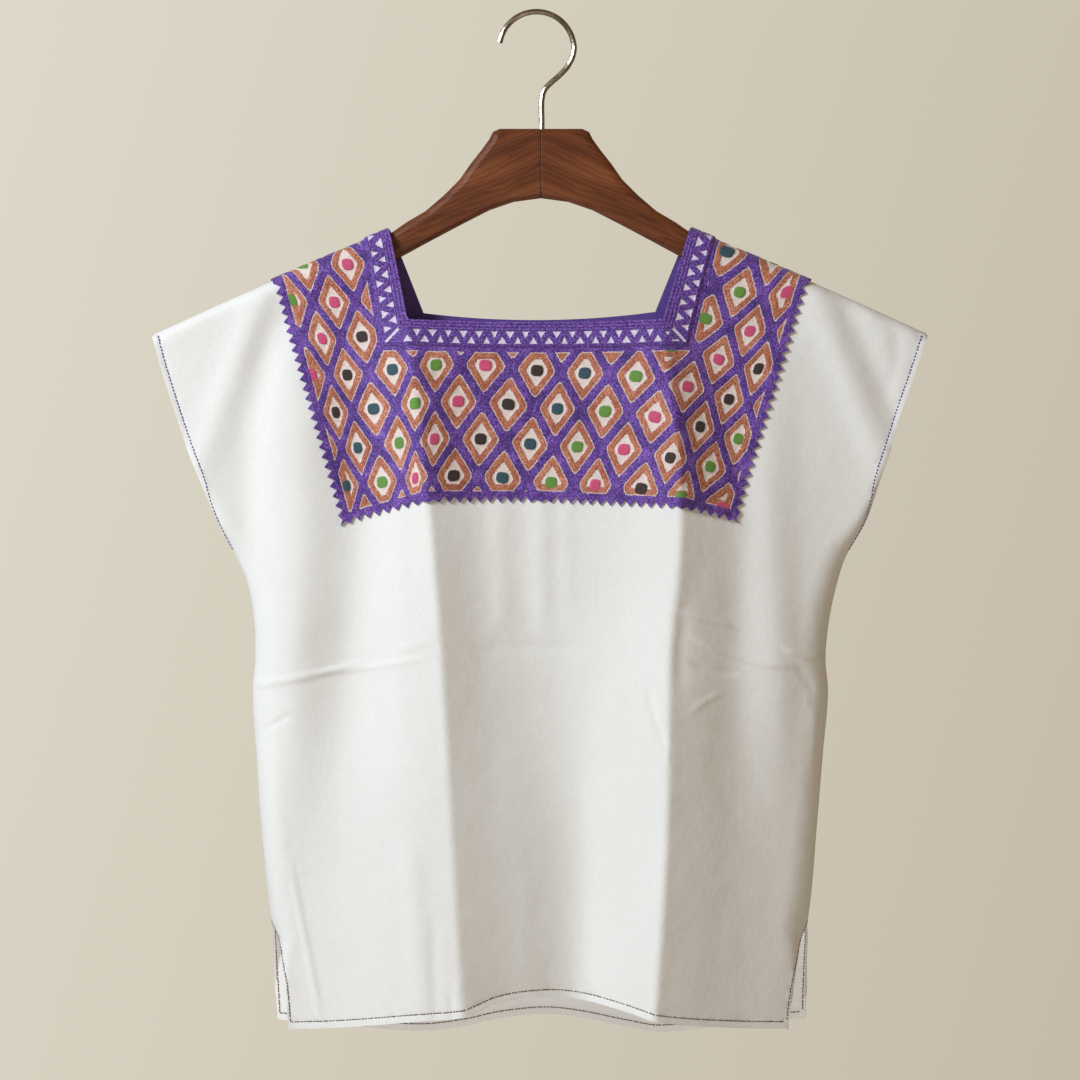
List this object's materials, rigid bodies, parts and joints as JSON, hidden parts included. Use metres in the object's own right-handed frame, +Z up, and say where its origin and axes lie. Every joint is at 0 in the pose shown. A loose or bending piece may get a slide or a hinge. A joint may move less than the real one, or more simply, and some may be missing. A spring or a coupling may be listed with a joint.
{
  "type": "blouse on a hanger",
  "caption": "White cotton blouse with a square neck, cap sleeves and an embroidered yoke, hanging on a dark wooden hanger with a wire hook.",
  "frame": {"origin": "inside of the hook's top, where a rail or peg holds the hanger", "axes": "+Z up; the front of the blouse faces -Y; +X is across the shoulders, to the right in a front view"},
  "size_m": [0.6194, 0.0935, 0.8196],
  "materials": {
    "white_cotton": "matt plain-woven cotton",
    "embroidery": "dense stitched thread with a slight sheen",
    "neckband": "dense stitched thread with a slight sheen",
    "walnut": "satin varnish over dark walnut",
    "hook_metal": "polished, slightly warm nickel"
  },
  "bodies": {
    "root": {"front_panel": "white_cotton", "back_panel": "white_cotton", "yoke_front": "embroidery", "yoke_back": "embroidery", "neckband_front": "neckband", "neckband_front_left": "neckband", "neckband_front_right": "neckband", "neckband_back": "neckband", "neckband_back_left": "neckband", "neckband_back_right": "neckband", "hanger": "walnut", "hanger_hook": "hook_metal"}
  },
  "joints": []
}
